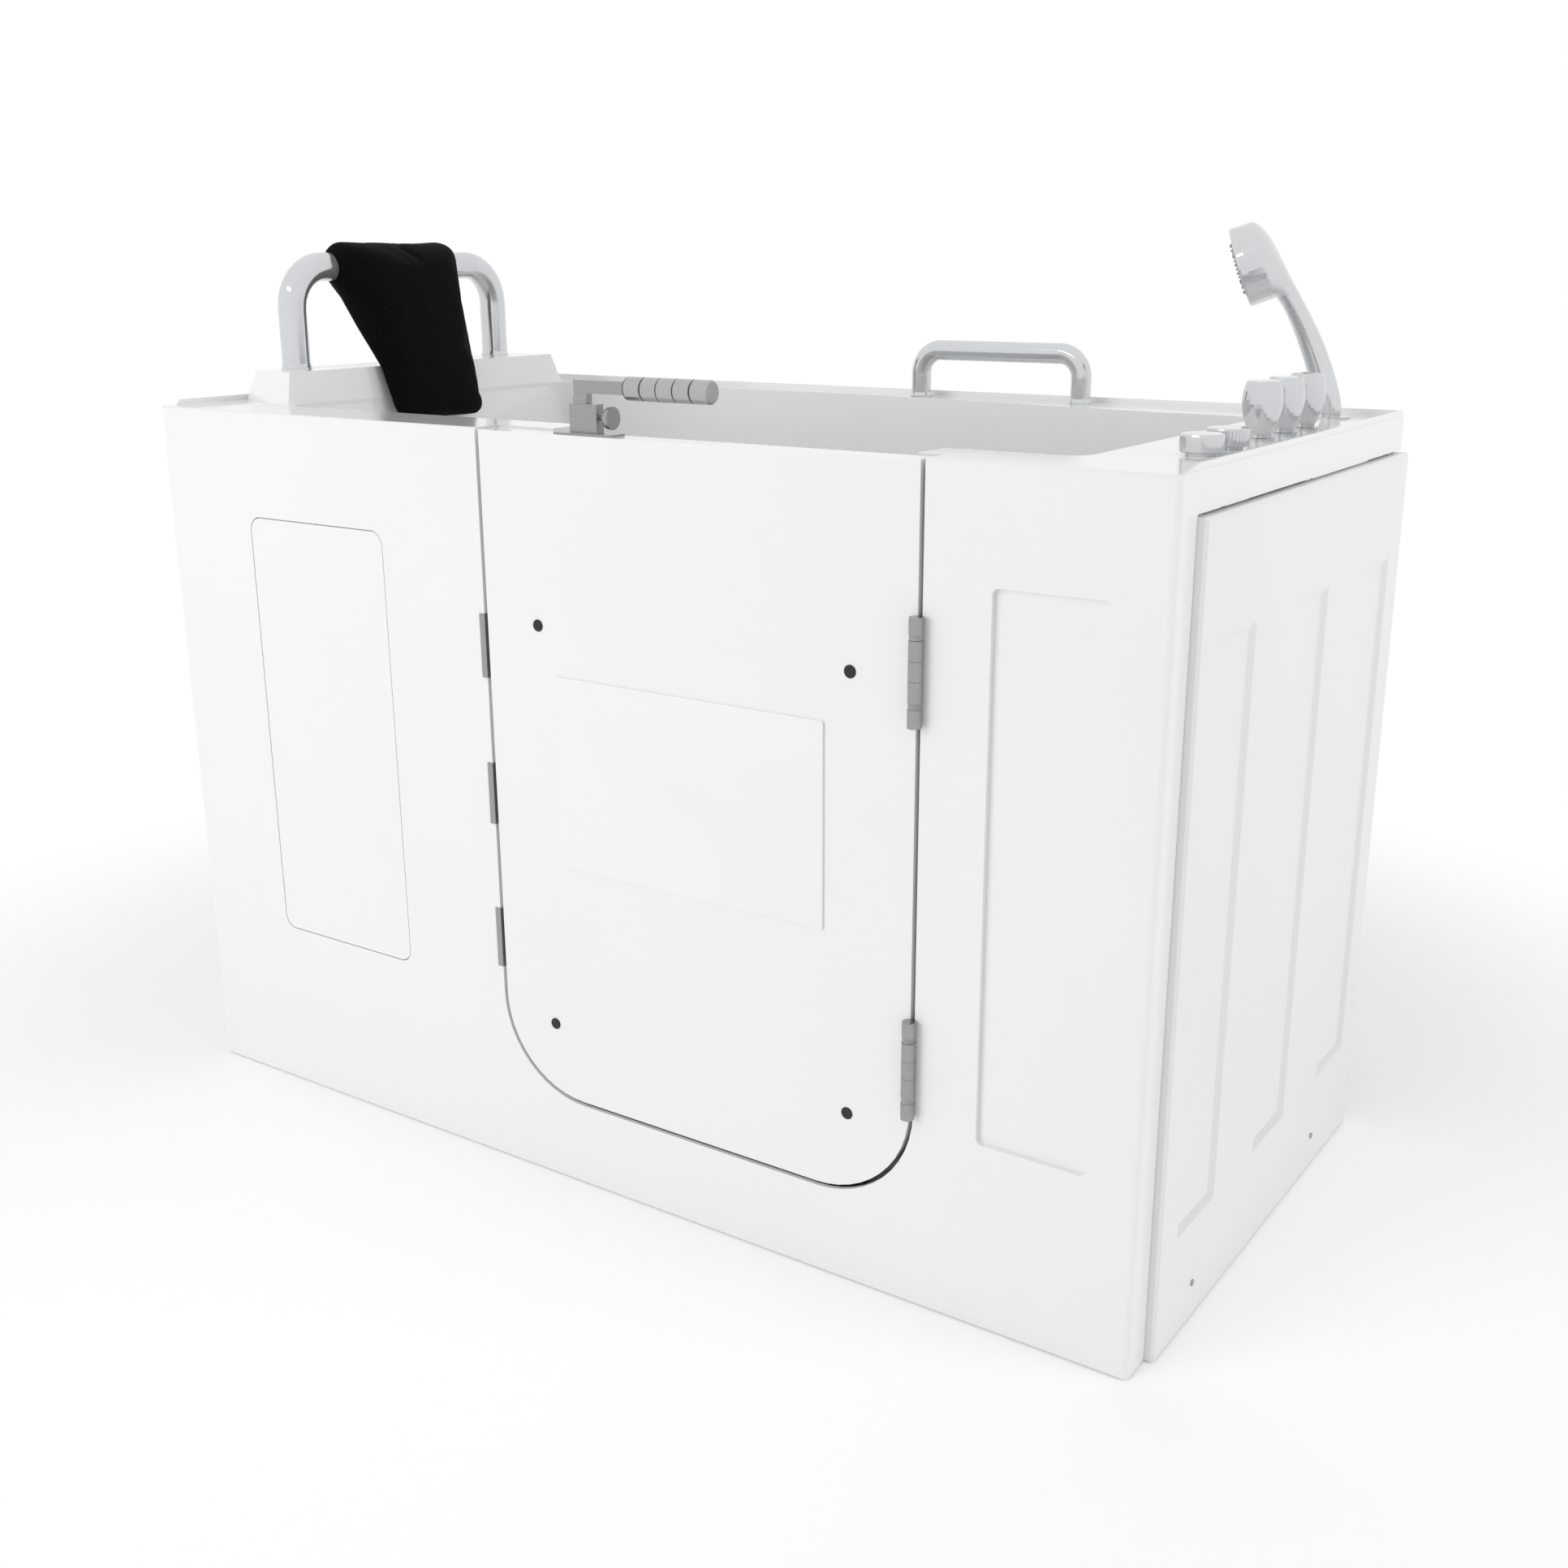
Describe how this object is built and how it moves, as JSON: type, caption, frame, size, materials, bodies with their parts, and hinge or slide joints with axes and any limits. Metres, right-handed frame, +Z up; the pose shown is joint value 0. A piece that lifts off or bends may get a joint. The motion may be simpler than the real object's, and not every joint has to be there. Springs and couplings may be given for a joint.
{
  "type": "walk-in bathtub",
  "caption": "High-walled bathtub with an outward-opening sealed door, raised seat, padded headrest, grab bars, deck controls and a hand shower.",
  "frame": {"origin": "on the floor under the middle of the whole tub", "axes": "+X from the seat end towards the control end, +Y from the door side towards the wall, +Z up"},
  "size_m": [1.5266, 0.7523, 1.2213],
  "materials": {
    "acrylic": "gloss",
    "acrylic_panel": "gloss",
    "acrylic_door": "gloss",
    "end_panel": "semi-gloss",
    "bare_plate": "gloss",
    "black_plastic": "matte",
    "washer_plastic": "matte",
    "steel": "brushed",
    "steel_grip": "brushed",
    "frame_steel": "satin",
    "zinc_steel": "zinc plated",
    "chrome": "polished",
    "chrome_trim": "polished",
    "shower_chrome": "polished",
    "nozzle_plastic": "satin",
    "pillow_fabric": "fine weave",
    "seal_rubber": "matte",
    "foot_rubber": "matte",
    "cable_sheath": "matte",
    "valve_brass": "cast",
    "supply_brass": "drawn",
    "waste_plastic": "matte",
    "frame_paint": "powder coated",
    "bearer_wood": "planed"
  },
  "bodies": {
    "tub": {"rim_and_front": "acrylic", "raised_end": "acrylic", "basin": "acrylic", "door_jamb": "acrylic", "access_panel": "acrylic_panel", "end_panel_right": "end_panel", "end_panel_left": "end_panel", "end_panel_screws": "steel", "hinge_fixed_leaves": "steel", "hinge_pins": "steel", "hinge_washers": "washer_plastic", "latch_strikes": "steel", "seat_end_bar": "chrome", "rear_grab_bar": "chrome", "bar_feet": "chrome", "bar_fixings": "zinc_steel", "head_pillow": "pillow_fabric", "control_discs": "chrome_trim", "deck_valves": "valve_brass", "cable_drives": "black_plastic", "shower_holder": "chrome_trim", "drain_bodies": "chrome_trim", "drain_cables": "cable_sheath", "waste_pipe": "waste_plastic", "overflow_plate": "chrome_trim", "fill_inlet": "chrome_trim", "supply_pipes": "supply_brass", "long_rails": "frame_paint", "cross_tubes": "frame_paint", "frame_uprights": "frame_paint", "floor_bearers": "bearer_wood", "seat_props": "frame_paint", "levelling_feet": "foot_rubber", "foot_nuts": "zinc_steel"},
    "door": {"door_outer_panel": "acrylic_door", "door_inner_panel": "acrylic_door", "door_stiffeners": "frame_steel", "door_seal": "seal_rubber", "door_plate": "bare_plate", "door_screw_caps": "black_plastic", "hinge_door_leaves": "steel", "latch_base_plate": "steel", "latch_block": "steel", "latch_guides": "black_plastic"},
    "lever": {"latch_lever": "steel", "latch_grip": "steel_grip", "latch_crank": "steel"},
    "bolts": {"latch_tie_bar": "steel", "latch_bolts": "steel"},
    "pull_knob": {"release_knob": "steel"},
    "front_knob": {"front_drain_knob": "chrome_trim"},
    "rear_knob": {"rear_drain_knob": "chrome_trim"},
    "front_plug": {"front_stopper": "chrome_trim"},
    "rear_plug": {"rear_stopper": "chrome_trim"},
    "hot": {"hot_handle": "chrome_trim"},
    "cold": {"cold_handle": "chrome_trim"},
    "diverter": {"diverter_handle": "chrome_trim"},
    "hand_shower": {"shower_body": "shower_chrome", "shower_ring": "shower_chrome", "shower_nozzle": "nozzle_plastic"}
  },
  "joints": [
    {"name": "door_swing", "type": "hinge", "parent": "tub", "child": "door", "pos_m": [0.47325, -0.36815, 0.533], "axis": [0, 0, 1], "range_deg": [0, 110]},
    {"name": "lever_turn", "type": "hinge", "parent": "door", "child": "lever", "pos_m": [0.007, -0.34185, 1], "axis": [0, 0, 1], "range_deg": [0, 90]},
    {"name": "bolts_slide", "type": "slide", "parent": "door", "child": "bolts", "axis": [-1, 0, 0], "range_m": [0, 0.0115]},
    {"name": "release_pull", "type": "slide", "parent": "door", "child": "pull_knob", "axis": [1, 0, 0], "range_m": [0, 0.005], "stiffness_N_per_m": 500},
    {"name": "hot_turn", "type": "hinge", "parent": "tub", "child": "hot", "pos_m": [0.702, -0.01385, 1.01], "axis": [0, 0, 1], "range_deg": [0, 90]},
    {"name": "cold_turn", "type": "hinge", "parent": "tub", "child": "cold", "pos_m": [0.702, 0.06015, 1.01], "axis": [0, 0, 1], "range_deg": [-90, 0]},
    {"name": "diverter_turn", "type": "hinge", "parent": "tub", "child": "diverter", "pos_m": [0.702, 0.13415, 1.01], "axis": [0, 0, 1], "range_deg": [0, 90]},
    {"name": "front_drain_turn", "type": "hinge", "parent": "tub", "child": "front_knob", "pos_m": [0.702, -0.18685, 1], "axis": [0, 0, 1], "range_deg": [0, 120]},
    {"name": "rear_drain_turn", "type": "hinge", "parent": "tub", "child": "rear_knob", "pos_m": [0.702, -0.11285, 1], "axis": [0, 0, 1], "range_deg": [0, 120]},
    {"name": "front_stopper_lift", "type": "slide", "parent": "tub", "child": "front_plug", "axis": [0, 0, 1], "range_m": [0, 0.0082]},
    {"name": "rear_stopper_lift", "type": "slide", "parent": "tub", "child": "rear_plug", "axis": [0, 0, 1], "range_m": [0, 0.0082]},
    {"name": "shower_lift_out", "type": "slide", "parent": "tub", "child": "hand_shower", "axis": [0, 0, 1], "range_m": [0, 0.12]}
  ],
  "couplings": [
    {"joint": "bolts_slide", "follows": "lever_turn", "m_per_rad": 0.0072025},
    {"joint": "front_stopper_lift", "follows": "front_drain_turn", "m_per_rad": 0.0038197},
    {"joint": "rear_stopper_lift", "follows": "rear_drain_turn", "m_per_rad": 0.0038197}
  ]
}
